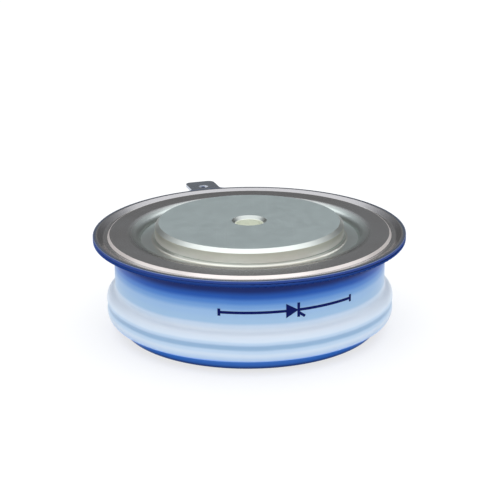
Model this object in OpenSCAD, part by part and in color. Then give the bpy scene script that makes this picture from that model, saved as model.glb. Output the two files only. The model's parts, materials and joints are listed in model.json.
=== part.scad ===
// Disc thyristor in a glazed ceramic capsule, clamped between two heatsinks in use.
// All lengths are in millimetres. The origin is the centre of the anode contact face,
// and +Z runs along the capsule's axis to the cathode contact face.

/* [Capsule] */
// Height between the two contact faces
capsule_h = 14.7; // [14.1:0.1:18]
// How far the cathode face stands above the flange
cathode_proud = 1.3; // [0.8:0.1:2]
// How far the anode face stands below the lower flange
anode_proud = 0.45; // [0.2:0.05:0.8]

/* [Contact poles] */
// Diameter of each pole where it leaves the capsule
pole_d = 25.4; // [24:0.2:26.4]
// Chamfer round each contact face
pole_chamfer = 0.5; // [0.2:0.05:0.6]
// Width of the shoulder that each pole has inside the capsule
shoulder_w = 0.9; // [0.6:0.1:1.1]
// Height of the anode pole
anode_pole_h = 5.6; // [5.2:0.1:6]
// Height of the cathode pole's foot, which is as wide as the disc under it
pole_foot_h = 0.5; // [0.3:0.1:0.8]
// Diameter of the locating hole in each contact face
locating_d = 3.8; // [2.8:0.1:4.2]
// Depth of each locating hole
locating_depth = 2; // [1.6:0.1:2.1]
// Chamfer at the mouth of each locating hole
locating_chamfer = 0.45; // [0.2:0.05:0.5]

/* [Lid] */
// Thickness of the lid's sheet
lid_t = 0.4; // [0.3:0.05:0.5]
// Width of the trough between the pole and the rolled lip
trough_w = 1.9; // [1.6:0.1:2.3]
// Depth of the trough's floor below the flange
trough_depth = 0.95; // [0.8:0.05:1.1]
// Radius of the rolled lip outside the trough
roll_r = 1.2; // [1.1:0.05:1.4]
// Width of the flat flange outside the rolled lip
flange_w = 5.2; // [5:0.1:7]
// Radius on the outer edges of the lid and of the ring welded under it
sheet_edge_r = 0.1; // [0.05:0.05:0.15]
// Radius of the turned-up collar that is brazed to the pole
collar_r = 0.45; // [0.3:0.05:0.5]
// Width of the flat lip outside the weld groove
weld_lip_w = 0.6; // [0.4:0.05:0.8]
// Depth of the pressed weld groove
weld_depth = 0.4; // [0.25:0.05:0.45]
// Width of the weld groove's floor
weld_floor_w = 0.55; // [0.4:0.05:0.7]
// Width of the weld groove's sloping outer wall
weld_slope_w = 0.75; // [0.5:0.05:0.9]
// Width of the weld groove's steep inner wall
weld_wall_w = 0.25; // [0.15:0.05:0.35]
// Thickness that the pressed lid keeps under the weld groove
weld_web_t = 0.16; // [0.1:0.02:0.2]

/* [Cathode tab] */
// Angle of the tab about the axis, from +X
tab_angle = 107.5; // [90:0.5:120]
// Width of the tab
tab_w = 4.3; // [3.4:0.1:5]
// How far the tab reaches past the flange
tab_len = 4.1; // [3.4:0.1:5]
// Radius of the tab's outer corners
tab_corner_r = 0.9; // [0.5:0.1:1.2]
// Radius of the fillets at the tab's root
tab_root_r = 0.6; // [0.3:0.1:1]
// Diameter of the tab's hole
tab_hole_d = 1.3; // [1:0.1:1.6]
// Distance from the flange's edge to the centre of the tab's hole
tab_hole_reach = 1.4; // [1.2:0.1:1.8]

/* [Weld ring] */
// Thickness of the ring that is brazed to the ceramic
weld_ring_t = 0.43; // [0.35:0.01:0.6]

/* [Ceramic housing] */
// Wall of the ceramic at its neck
ceramic_wall = 2.75; // [2.3:0.05:3]
// How far the two ribs stand out from the neck
rib_proud = 1.15; // [0.9:0.05:1.2]
// Radius of the lower rib's round section
lower_rib_round = 1.55; // [1.4:0.05:1.7]
// Height of the lower rib's crest over the ceramic's foot
foot_h = 0.95; // [0.8:0.05:1.1]
// Radius of the upper rib's round section
upper_rib_round = 1.3; // [1.2:0.05:1.4]
// Distance between the crests of the two ribs
rib_pitch = 1.55; // [1.4:0.05:1.7]
// Radius of the groove between the two ribs
groove_round = 0.5; // [0.4:0.05:0.8]
// Radius of the fillet from the upper rib to the neck
neck_fillet = 0.7; // [0.5:0.05:1]
// Radius on the ceramic's upper edge
ceramic_edge_r = 0.2; // [0.1:0.05:0.3]

/* [Lower flange] */
// Thickness of the lower flange at its rim
rim_t = 1.6; // [1.2:0.05:1.7]
// Thickness of its web round the pole
web_t = 0.4; // [0.3:0.05:0.5]
// How far the rim ends inside the foot of the ceramic
rim_inset = 0.45; // [0.3:0.05:0.6]
// How much further in the rim's lower edge is than its upper edge
rim_taper = 1.1; // [0.8:0.1:1.3]
// Width of the rim's flat underside
rim_land_w = 1.5; // [1.2:0.1:1.8]
// Width of the slope from the rim to the web
rim_slope_w = 0.5; // [0.3:0.05:0.7]
// Chamfer on the rim's lower edge
rim_chamfer = 0.15; // [0.05:0.05:0.2]

/* [Silicon stack] */
// Thickness of the molybdenum disc under the wafer
anode_disc_t = 1.6; // [1.2:0.1:1.8]
// Thickness of the silicon wafer
wafer_t = 0.4; // [0.3:0.05:0.5]
// Width of the wafer's bevelled edge
wafer_bevel = 0.4; // [0.2:0.05:0.5]
// Width of the disc's edge that shows outside the wafer
disc_land = 0.4; // [0.3:0.05:0.5]
// Thickness of the molybdenum disc over the wafer
cathode_disc_t = 0.6; // [0.5:0.05:0.8]
// Diameter of the hole in that disc for the gate contact
gate_window_d = 3.2; // [3:0.1:3.6]
// Width of the rubber edge ring's cover on the wafer's face
edge_cover_w = 0.5; // [0.3:0.05:0.6]
// Height of the rubber edge ring over the wafer
edge_ring_h = 0.45; // [0.3:0.05:0.5]
// Wall of the centring ring beside the disc
centring_wall = 0.95; // [0.8:0.05:1.1]
// How far the centring ring reaches up beside the disc
centring_lap = 1; // [0.6:0.1:1.2]

/* [Gate contact] */
// Angle of the gate lead about the axis, from +X
gate_angle = 81.5; // [60:0.5:84]
// Height of the gate lead over the cathode disc
lead_rise = 0.75; // [0.7:0.05:0.9]
// Diameter of the gate lead
lead_d = 0.5; // [0.4:0.05:0.6]
// How far the lead reaches past the axis of the gate contact
lead_grip = 0.65; // [0.4:0.05:0.9]
// Wall of the lead's insulating sleeve
lead_sleeve_wall = 0.3; // [0.2:0.05:0.35]
// Diameter of the gate contact's body
contact_d = 2.6; // [2.4:0.1:2.8]
// Diameter of the contact's tip on the wafer
contact_tip_d = 1.6; // [1.2:0.1:1.8]
// Height of the contact's tip
contact_tip_h = 0.3; // [0.2:0.05:0.5]
// Height of the contact's body and tip together
contact_h = 2; // [1.9:0.1:2.2]
// Diameter of the stem that guides the spring
stem_d = 1.2; // [1:0.1:1.3]
// Height of that stem
stem_h = 1; // [0.6:0.1:1.1]
// Wall of the contact's insulating sleeve
contact_sleeve_wall = 0.9; // [0.7:0.1:1.1]
// Height of that sleeve
contact_sleeve_h = 3.1; // [2.9:0.1:3.2]
// Thickness of the insulating washer over the spring
washer_t = 0.3; // [0.2:0.05:0.4]
// Diameter of the spring's wire
spring_wire_d = 0.3; // [0.2:0.02:0.34]
// Turns of the spring
spring_turns = 4; // [3:1:4]

/* [Gate terminal] */
// Outside diameter of the gate tube
gate_tube_d = 1.5; // [1.4:0.1:1.8]
// Bore of the gate tube
gate_tube_bore = 0.7; // [0.65:0.05:0.8]
// How far the gate tube reaches out of the ceramic
gate_tube_out = 2.55; // [2.2:0.05:3]
// Thickness of the gate terminal's sheet
blade_t = 0.5; // [0.4:0.05:0.6]
// Width of the gate terminal's blade
blade_w = 2.8; // [2.4:0.1:3.2]
// Length of the blade outside the tube
blade_len = 3.8; // [3.4:0.1:4.4]
// Length of the tongue held in the tube's slot
tongue_len = 1.5; // [1:0.1:1.6]
// Radius of the blade's outer corners
blade_corner_r = 0.55; // [0.3:0.05:0.9]
// Diameter of the blade's hole
blade_hole_d = 1.3; // [1:0.1:1.5]

/* [Hidden] */
$fn = 96;

// Clearances
braze_gap = 0.02;    // between a brazed sheet or lead and the round part that it is brazed to
fit_gap = 0.05;      // between pieces that are pushed into one another
loose_gap = 0.2;     // round the centring ring, inside the ceramic
lid_gap = 0.5;       // between the lid's trough and the ceramic's bore
slot_gap = 0.15;     // over and beside the lead's sleeve in the cathode pole's slot
coil_gap = 0.01;     // between the end turns of the gate spring
cut = 0.1;           // how far a cutting shape runs past the face that it cuts
lap = 0.1;           // how far a shape reaches into the one that it is joined to

// Radii
pole_r = pole_d / 2;
shoulder_r = pole_r + shoulder_w;
trough_r = pole_r + trough_w;
roll_start_r = trough_r + roll_r;
flange_r = roll_start_r + flange_w;
weld_outer_r = flange_r - weld_lip_w;
weld_slope_r = weld_outer_r - weld_slope_w;
weld_floor_r = weld_slope_r - weld_floor_w;
weld_inner_r = weld_floor_r - weld_wall_w;
ceramic_bore_r = trough_r + lid_t + lid_gap;
neck_r = ceramic_bore_r + ceramic_wall;
rib_r = neck_r + rib_proud;
foot_edge_r = rib_r - lower_rib_round + sqrt(pow(lower_rib_round, 2) - pow(foot_h, 2));
rim_r = foot_edge_r - rim_inset;
centring_r = ceramic_bore_r - loose_gap;
disc_r = centring_r - centring_wall - fit_gap;
wafer_r = disc_r - disc_land;
wafer_face_r = wafer_r - wafer_bevel;
edge_ring_bore_r = wafer_face_r - edge_cover_w;
cathode_disc_r = edge_ring_bore_r - 2 * fit_gap;
contact_r = contact_d / 2;
contact_sleeve_bore_r = contact_r + 2 * fit_gap;
contact_sleeve_r = contact_sleeve_bore_r + contact_sleeve_wall;
gate_bore_r = contact_sleeve_r + fit_gap;
lead_sleeve_r = lead_d / 2 + lead_sleeve_wall;
slot_w = 2 * (lead_sleeve_r + slot_gap);

// Heights
flange_z = capsule_h - cathode_proud;
weld_ring_z = flange_z - lid_t;
ceramic_top_z = weld_ring_z - weld_ring_t;
trough_z = flange_z - trough_depth;
lid_seat_z = trough_z - lid_t;
weld_press = weld_depth + weld_web_t - lid_t;
ceramic_foot_z = anode_proud + rim_t;
web_z = ceramic_foot_z - web_t;
lower_rib_z = ceramic_foot_z + foot_h;
upper_rib_z = lower_rib_z + rib_pitch;
wafer_z = anode_pole_h + anode_disc_t;
cathode_disc_z = wafer_z + wafer_t;
stack_top_z = cathode_disc_z + cathode_disc_t;
lead_z = stack_top_z + lead_rise;
sleeve_top_z = stack_top_z + contact_sleeve_h;
gate_bore_z = sleeve_top_z + washer_t;
contact_body_z = cathode_disc_z + contact_h;

// Lengths along the gate lead, from the axis
lead_start = -lead_grip;
gate_tube_end = neck_r + gate_tube_out;
tongue_start = gate_tube_end - tongue_len;
lead_end = tongue_start - fit_gap;
gate_tube_start = ceramic_bore_r - loose_gap;

// Right-hand crossing of two circles, seen from the first centre towards the second
function crossing(c1, r1, c2, r2) =
    let (
        d = c2 - c1,
        gap = norm(d),
        along = (r1 * r1 - r2 * r2 + gap * gap) / (2 * gap),
        aside = sqrt(r1 * r1 - along * along)
    )
    c1 + (along * d + aside * [d[1], -d[0]]) / gap;

// A turned piece whose outline is the given list of [radius, height] points
module turned(outline) rotate_extrude() polygon(outline);

// Section of a flat ring between two radii and two heights, rounded on its outer edges
module band(r_in, r_out, low, high, edge_r) {
    translate([r_in, low]) square([r_out - edge_r - r_in, high - low]);
    translate([r_in, low + edge_r]) square([r_out - r_in, high - low - 2 * edge_r]);
    for (z = [low + edge_r, high - edge_r]) translate([r_out - edge_r, z]) circle(edge_r);
}

// Section of the collar that turns a sheet's face up (up = 1) or down (up = -1) along the pole
module collar(face_z, up) {
    hole_r = pole_r + braze_gap;
    round_z = face_z + up * collar_r;
    difference() {
        translate([hole_r, min(face_z, round_z)]) square(collar_r);
        translate([hole_r + collar_r, round_z]) circle(collar_r);
    }
}

// Section of the pressed weld groove, of the given depth below a face
module weld_groove(face_z, depth) {
    polygon([
        [weld_inner_r, face_z + lap], [weld_inner_r, face_z], [weld_floor_r, face_z - depth],
        [weld_slope_r, face_z - depth], [weld_outer_r, face_z], [weld_outer_r, face_z + lap]
    ]);
}

// Space of a locating hole that goes down from its chamfered mouth at z = 0
module locating_hole() {
    mouth_r = locating_d / 2 + locating_chamfer;
    turned([
        [0, cut], [mouth_r + cut, cut], [locating_d / 2, -locating_chamfer],
        [locating_d / 2, -locating_depth], [0, -locating_depth]
    ]);
}

// A rod along the gate lead's axis, between two distances from the capsule's axis
module lead_rod(r, start, end) {
    rotate([0, 0, gate_angle]) translate([start, 0, lead_z]) rotate([0, 90, 0])
        cylinder(r = r, h = end - start);
}

// A box along the gate lead's axis, between two distances and two heights
module lead_box(w, start, end, low, high) {
    rotate([0, 0, gate_angle]) translate([start, -w / 2, low]) cube([end - start, w, high - low]);
}

// Flat strip along +X with two rounded outer corners
module strip(length, width, corner_r) {
    translate([0, -width / 2]) square([length - corner_r, width]);
    translate([0, corner_r - width / 2]) square([length, width - 2 * corner_r]);
    for (side = [-1, 1])
        translate([length - corner_r, side * (width / 2 - corner_r)]) circle(corner_r);
}

// Copper pole with its contact face at z = 0, a shoulder inside the lower flange and a flat top
module anode_pole() {
    color([0.66, 0.68, 0.68]) difference() {
        turned([
            [0, 0], [pole_r - pole_chamfer, 0], [pole_r, pole_chamfer], [pole_r, ceramic_foot_z],
            [shoulder_r, ceramic_foot_z], [shoulder_r, anode_pole_h], [0, anode_pole_h]
        ]);
        mirror([0, 0, 1]) locating_hole();
    }
}

// Lower flange: a stout tapered rim under the ceramic and a thin web with a collar round the pole
module anode_flange() {
    hole_r = pole_r + braze_gap;
    low_r = rim_r - rim_taper;
    land_r = low_r - rim_land_w;
    slope_r = land_r - rim_slope_w;
    color([0.13, 0.30, 0.62]) rotate_extrude() {
        polygon([
            [hole_r, ceramic_foot_z], [hole_r, web_z], [slope_r, web_z], [land_r, anode_proud],
            [low_r - rim_chamfer, anode_proud], [low_r, anode_proud + rim_chamfer],
            [rim_r, ceramic_foot_z]
        ]);
        collar(web_z, -1);
    }
}

// Ceramic ring with a straight neck and two ribs, the lower one its foot, bored for the gate tube
module ceramic_housing() {
    lower_c = [rib_r - lower_rib_round, lower_rib_z];
    upper_c = [rib_r - upper_rib_round, upper_rib_z];
    groove_c = crossing(
        lower_c, lower_rib_round + groove_round,
        upper_c, upper_rib_round + groove_round
    );
    fillet_x = neck_r + neck_fillet;
    fillet_rise = sqrt(pow(upper_rib_round + neck_fillet, 2) - pow(fillet_x - upper_c[0], 2));
    fillet_c = [fillet_x, upper_rib_z + fillet_rise];
    color([0.80, 0.87, 0.94]) difference() {
        rotate_extrude() difference() {
            union() {
                band(ceramic_bore_r, neck_r, ceramic_foot_z, ceramic_top_z, ceramic_edge_r);
                translate(lower_c) circle(lower_rib_round);
                translate(upper_c) circle(upper_rib_round);
                polygon([lower_c, groove_c, upper_c, fillet_c, [neck_r - lap, fillet_c[1]]]);
            }
            translate(groove_c) circle(groove_round);
            translate(fillet_c) circle(neck_fillet);
            translate([0, ceramic_foot_z - rib_r]) square(rib_r);
        }
        lead_rod(gate_tube_d / 2 + braze_gap, 0, neck_r + rib_proud);
    }
}

// Flat ring brazed to the top of the ceramic; its outer part is welded to the lid
module weld_ring() {
    color([0.20, 0.33, 0.60]) rotate_extrude() difference() {
        band(roll_start_r + fit_gap, flange_r, ceramic_top_z, weld_ring_z, sheet_edge_r);
        weld_groove(weld_ring_z, weld_press);
    }
}

// Thin lid: a collar on the pole, a trough, a rolled lip, a flat flange with its pressed weld
// groove, and the holed tab that is the auxiliary cathode terminal
module cathode_lid() {
    hole_r = pole_r + braze_gap;
    roll_z = flange_z - roll_r;
    under_r = roll_r - lid_t;
    under_z = lid_seat_z - cut;
    color([0.45, 0.44, 0.43]) {
        rotate_extrude() difference() {
            union() {
                collar(trough_z, 1);
                translate([hole_r, lid_seat_z]) square([roll_start_r - hole_r, lid_t]);
                intersection() {
                    translate([roll_start_r, roll_z]) circle(roll_r);
                    translate([trough_r, lid_seat_z]) square([roll_r, flange_z - lid_seat_z]);
                }
                band(roll_start_r, flange_r, weld_ring_z, flange_z, sheet_edge_r);
                weld_groove(weld_ring_z, weld_press);
            }
            translate([roll_start_r, roll_z]) circle(under_r);
            translate([roll_start_r - under_r, under_z]) square([under_r, roll_z - under_z]);
            weld_groove(flange_z, weld_depth);
        }
        tab();
    }
}

// Holed tab punched in one piece with the lid, with a fillet each side of its root
module tab() {
    fillet_y = tab_w / 2 + tab_root_r;
    fillet_x = sqrt(pow(flange_r + tab_root_r, 2) - pow(fillet_y, 2));
    touch_y = fillet_y * flange_r / (flange_r + tab_root_r);
    root = weld_outer_r + lap;
    rotate([0, 0, tab_angle]) translate([0, 0, weld_ring_z]) linear_extrude(lid_t) difference() {
        union() {
            translate([root, 0]) strip(flange_r + tab_len - root, tab_w, tab_corner_r);
            difference() {
                translate([root, -touch_y]) square([fillet_x - root, 2 * touch_y]);
                for (side = [-1, 1]) translate([fillet_x, side * fillet_y]) circle(tab_root_r);
            }
        }
        translate([flange_r + tab_hole_reach, 0]) circle(d = tab_hole_d);
    }
}

// Copper pole whose face is the cathode contact, bored and slotted underneath for the gate
module cathode_pole() {
    foot_z = stack_top_z + pole_foot_h;
    color([0.61, 0.65, 0.655]) difference() {
        turned([
            [0, stack_top_z], [cathode_disc_r, stack_top_z], [cathode_disc_r, foot_z],
            [shoulder_r, foot_z], [shoulder_r, lid_seat_z], [pole_r, lid_seat_z],
            [pole_r, capsule_h - pole_chamfer], [pole_r - pole_chamfer, capsule_h], [0, capsule_h]
        ]);
        translate([0, 0, capsule_h]) locating_hole();
        translate([0, 0, stack_top_z - cut]) cylinder(r = gate_bore_r, h = gate_bore_z - stack_top_z + cut);
        lead_box(slot_w, 0, shoulder_r + cut, stack_top_z - cut, lead_z + lead_sleeve_r + slot_gap);
    }
}

// Insulating ring that stands on the lower flange and centres the disc under the wafer
module centring_ring() {
    color([0.93, 0.93, 0.90]) turned([
        [shoulder_r + fit_gap, ceramic_foot_z], [centring_r, ceramic_foot_z],
        [centring_r, anode_pole_h + centring_lap], [disc_r + fit_gap, anode_pole_h + centring_lap],
        [disc_r + fit_gap, anode_pole_h], [shoulder_r + fit_gap, anode_pole_h]
    ]);
}

// Molybdenum disc that the wafer is bonded to
module anode_disc() {
    color([0.50, 0.51, 0.53]) translate([0, 0, anode_pole_h]) cylinder(r = disc_r, h = anode_disc_t);
}

// Silicon wafer with its bevelled edge
module silicon_wafer() {
    color([0.27, 0.29, 0.34]) translate([0, 0, wafer_z])
        cylinder(r1 = wafer_r, r2 = wafer_face_r, h = wafer_t);
}

// Rubber ring that seals and insulates the wafer's bevelled edge
module wafer_edge_ring() {
    low_r = wafer_r + braze_gap;
    face_r = wafer_face_r + braze_gap;
    round_r = edge_ring_h / 2;
    round_z = cathode_disc_z + round_r;
    color([0.72, 0.30, 0.22]) rotate_extrude() {
        polygon([
            [low_r, wafer_z], [disc_r, wafer_z], [disc_r, round_z], [edge_ring_bore_r, round_z],
            [edge_ring_bore_r, cathode_disc_z], [face_r, cathode_disc_z]
        ]);
        translate([edge_ring_bore_r + round_r, round_z])
            square([disc_r - edge_ring_bore_r - 2 * round_r, round_r]);
        for (r = [edge_ring_bore_r + round_r, disc_r - round_r]) translate([r, round_z]) circle(round_r);
    }
}

// Molybdenum disc over the wafer, with a window for the gate contact
module cathode_disc() {
    color([0.55, 0.56, 0.58]) translate([0, 0, cathode_disc_z]) difference() {
        cylinder(r = cathode_disc_r, h = cathode_disc_t);
        translate([0, 0, -cut]) cylinder(d = gate_window_d, h = cathode_disc_t + 2 * cut);
    }
}

// Gate contact: a tip on the wafer, a body cross-drilled for the lead, and a stem in the spring
module gate_contact() {
    tip_z = cathode_disc_z + contact_tip_h;
    color([0.80, 0.80, 0.78]) difference() {
        turned([
            [0, cathode_disc_z], [contact_tip_d / 2, cathode_disc_z],
            [contact_tip_d / 2, tip_z], [contact_r, tip_z],
            [contact_r, contact_body_z], [stem_d / 2, contact_body_z],
            [stem_d / 2, contact_body_z + stem_h], [0, contact_body_z + stem_h]
        ]);
        lead_rod(lead_d / 2 + braze_gap, lead_start - braze_gap, contact_r + cut);
    }
}

// Insulating sleeve round the gate contact and its spring, notched for the lead
module gate_contact_sleeve() {
    color([0.95, 0.95, 0.93]) difference() {
        translate([0, 0, stack_top_z]) difference() {
            cylinder(r = contact_sleeve_r, h = contact_sleeve_h);
            translate([0, 0, -cut]) cylinder(r = contact_sleeve_bore_r, h = contact_sleeve_h + 2 * cut);
        }
        lead_box(slot_w, 0, gate_bore_r, stack_top_z - cut, lead_z + lead_sleeve_r + slot_gap);
    }
}

// Coil spring with closed ends, between the contact's body and the washer
module gate_spring() {
    wire_r = spring_wire_d / 2;
    coil_r = contact_r - wire_r - fit_gap;
    low = contact_body_z + wire_r;
    high = sleeve_top_z - wire_r;
    sides = 8;
    per_turn = 20;
    rings = spring_turns * per_turn;
    closed = spring_wire_d + coil_gap;
    pitch = (high - low - 2 * closed) / (spring_turns - 2);
    function height(turn) =
        turn < 1 ? low + closed * turn
        : turn > spring_turns - 1 ? high - closed * (spring_turns - turn)
        : low + closed + pitch * (turn - 1);
    points = [for (i = [0 : rings]) let (turn = i / per_turn, a = 360 * turn, z = height(turn))
        for (k = [0 : sides - 1]) let (b = 360 * k / sides, r = coil_r + wire_r * cos(b))
            [r * cos(a), r * sin(a), z + wire_r * sin(b)]];
    skin = [for (i = [0 : rings - 1], k = [0 : sides - 1])
        let (j = (k + 1) % sides, p = i * sides)
            [p + k, p + j, p + sides + j, p + sides + k]];
    first = [for (k = [sides - 1 : -1 : 0]) k];
    last = [for (k = [0 : sides - 1]) rings * sides + k];
    color([0.70, 0.70, 0.72]) polyhedron(points, concat(skin, [first, last]));
}

// Insulating washer between the spring and the cathode pole
module gate_spring_washer() {
    color([0.86, 0.82, 0.70]) translate([0, 0, sleeve_top_z])
        cylinder(r = contact_sleeve_r, h = washer_t);
}

// Gate lead from the contact to the gate tube's slot
module gate_lead() {
    color([0.82, 0.80, 0.76]) lead_rod(lead_d / 2, lead_start, lead_end);
}

// Insulating sleeve on the lead, between the gate contact and the gate tube
module gate_lead_sleeve() {
    color([0.90, 0.92, 0.95]) difference() {
        lead_rod(lead_sleeve_r, contact_r + fit_gap, gate_tube_start - fit_gap);
        lead_rod(lead_d / 2 + braze_gap, contact_r, gate_tube_start);
    }
}

// Gate tube brazed into the ceramic, with a flat slot across its outer end
module gate_tube() {
    color([0.70, 0.71, 0.70]) difference() {
        lead_rod(gate_tube_d / 2, gate_tube_start, gate_tube_end);
        lead_rod(gate_tube_bore / 2, gate_tube_start - cut, tongue_start);
        lead_box(gate_tube_d + cut, tongue_start, gate_tube_end + cut,
            lead_z - blade_t / 2, lead_z + blade_t / 2);
    }
}

// Gate terminal: a holed blade whose tongue is soldered into the tube's slot
module gate_terminal() {
    tongue_w = gate_tube_d - 2 * fit_gap;
    color([0.66, 0.68, 0.68]) rotate([0, 0, gate_angle])
        translate([0, 0, lead_z - blade_t / 2]) linear_extrude(blade_t) difference() {
            union() {
                translate([tongue_start, -tongue_w / 2]) square([tongue_len + lap, tongue_w]);
                translate([gate_tube_end, 0]) strip(blade_len, blade_w, blade_corner_r);
            }
            translate([gate_tube_end + blade_len / 2, 0]) circle(d = blade_hole_d);
        }
}

anode_pole();
anode_flange();
ceramic_housing();
weld_ring();
cathode_lid();
cathode_pole();
centring_ring();
anode_disc();
silicon_wafer();
wafer_edge_ring();
cathode_disc();
gate_contact();
gate_contact_sleeve();
gate_spring();
gate_spring_washer();
gate_lead();
gate_lead_sleeve();
gate_tube();
gate_terminal();
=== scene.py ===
"""Finishes, braze, printed symbol, light and camera of a disc thyristor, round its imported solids."""
import json
import logging
import math
from abc import ABC, abstractmethod
from collections.abc import Iterator
from contextlib import contextmanager
from dataclasses import dataclass
from enum import Enum
from typing import Any

import bmesh
import bpy
from mathutils import Matrix, Vector


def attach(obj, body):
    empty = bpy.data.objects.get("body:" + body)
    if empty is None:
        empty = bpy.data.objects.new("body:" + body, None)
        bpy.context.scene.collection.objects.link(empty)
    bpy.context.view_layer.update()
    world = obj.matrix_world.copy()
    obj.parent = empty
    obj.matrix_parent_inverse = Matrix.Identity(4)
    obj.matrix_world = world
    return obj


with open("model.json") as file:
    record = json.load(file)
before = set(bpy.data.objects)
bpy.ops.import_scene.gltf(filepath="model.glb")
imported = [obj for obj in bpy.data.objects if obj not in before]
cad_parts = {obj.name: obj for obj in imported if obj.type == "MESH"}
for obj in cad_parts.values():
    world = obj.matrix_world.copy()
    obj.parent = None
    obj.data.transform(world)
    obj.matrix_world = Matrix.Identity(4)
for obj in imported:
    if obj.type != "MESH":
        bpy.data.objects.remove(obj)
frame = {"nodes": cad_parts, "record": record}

MM = 0.001
BODY = "root"
HOLE_DEPTH = 2.0 * MM
PHOTO_PX = 500
SENSOR_MM = 36.0
TAB_HOLE = "cathode_tab_hole"

Colour = tuple[float, float, float, float]
Pair = tuple[float, float]
Triple = tuple[float, float, float]
Piece = bpy.types.Object
Tree = bpy.types.NodeTree
Node = bpy.types.Node
Material = bpy.types.Material
Socket = bpy.types.NodeSocket
Stops = tuple[tuple[float, Colour], ...]
log = logging.getLogger("thyristor")


def srgb(red: int, green: int, blue: int) -> Colour:
    """Linear colour of an 8-bit screen colour.

    Args:
        red: Red from 0 to 255.
        green: Green from 0 to 255.
        blue: Blue from 0 to 255.

    Returns:
        Linear red, green and blue, and a full alpha.
    """
    shares = [value / 255 for value in (red, green, blue)]
    linear = [s / 12.92 if s <= 0.04045 else ((s + 0.055) / 1.055) ** 2.4 for s in shares]
    return linear[0], linear[1], linear[2], 1.0


class Turned:
    """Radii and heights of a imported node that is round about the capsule's axis."""

    def __init__(self, node: str) -> None:
        """Read the node's vertices as radius and height."""
        vertices = frame["nodes"][node].data.vertices
        self.points = [(math.hypot(v.co.x, v.co.y), v.co.z) for v in vertices]

    def between(self, low: float, high: float, clear: float = 0.0) -> list[float]:
        """Radii of the vertices between two heights and beyond a clear radius, smallest first."""
        return sorted(r for r, z in self.points if low <= z <= high and r >= clear)

    @property
    def low(self) -> float:
        """Lowest height."""
        return min(z for _, z in self.points)

    @property
    def high(self) -> float:
        """Highest height."""
        return max(z for _, z in self.points)


@dataclass(frozen=True)
class Capsule:
    """Sizes of the capsule, in metres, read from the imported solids."""

    height: float
    pole_r: float
    face_r: float
    hole_r: float
    hole_mouth_r: float
    flange_r: float
    flange_z: float
    weld_ring_z: float
    ceramic_top_z: float
    ceramic_foot_z: float
    neck_r: float
    rim_r: float
    rim_low_z: float
    tube_r: float
    tube_end: float
    lead_z: float
    gate_angle: float

    @classmethod
    def measure(cls) -> "Capsule":
        """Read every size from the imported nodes.

        Returns:
            The capsule's sizes.
        """
        pole, lid, ring = Turned("cathode_pole"), Turned("cathode_lid"), Turned("weld_ring")
        ceramic, rim = Turned("ceramic_housing"), Turned("anode_flange")
        tube = [v.co for v in frame["nodes"]["gate_tube"].data.vertices]
        tube_z = [v.z for v in tube]
        skin = 0.01 * MM
        face = pole.between(pole.high - skin, pole.high)
        return cls(
            height=pole.high, pole_r=pole.between(lid.high + skin, pole.high)[-1],
            face_r=face[-1], hole_mouth_r=min(r for r in face if r > MM),
            hole_r=pole.between(pole.high - HOLE_DEPTH - skin, pole.high - MM, MM)[0],
            flange_r=ring.between(ring.low, ring.high)[-1], flange_z=lid.high,
            weld_ring_z=ring.high, ceramic_top_z=ceramic.high, ceramic_foot_z=ceramic.low,
            neck_r=ceramic.between(ceramic.high - MM, ceramic.high)[-1],
            rim_r=rim.between(rim.low, rim.high)[-1], rim_low_z=rim.low,
            tube_r=(max(tube_z) - min(tube_z)) / 2, lead_z=(max(tube_z) + min(tube_z)) / 2,
            tube_end=max(math.hypot(v.x, v.y) for v in tube),
            gate_angle=math.atan2(sum(v.y for v in tube), sum(v.x for v in tube)))


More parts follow.
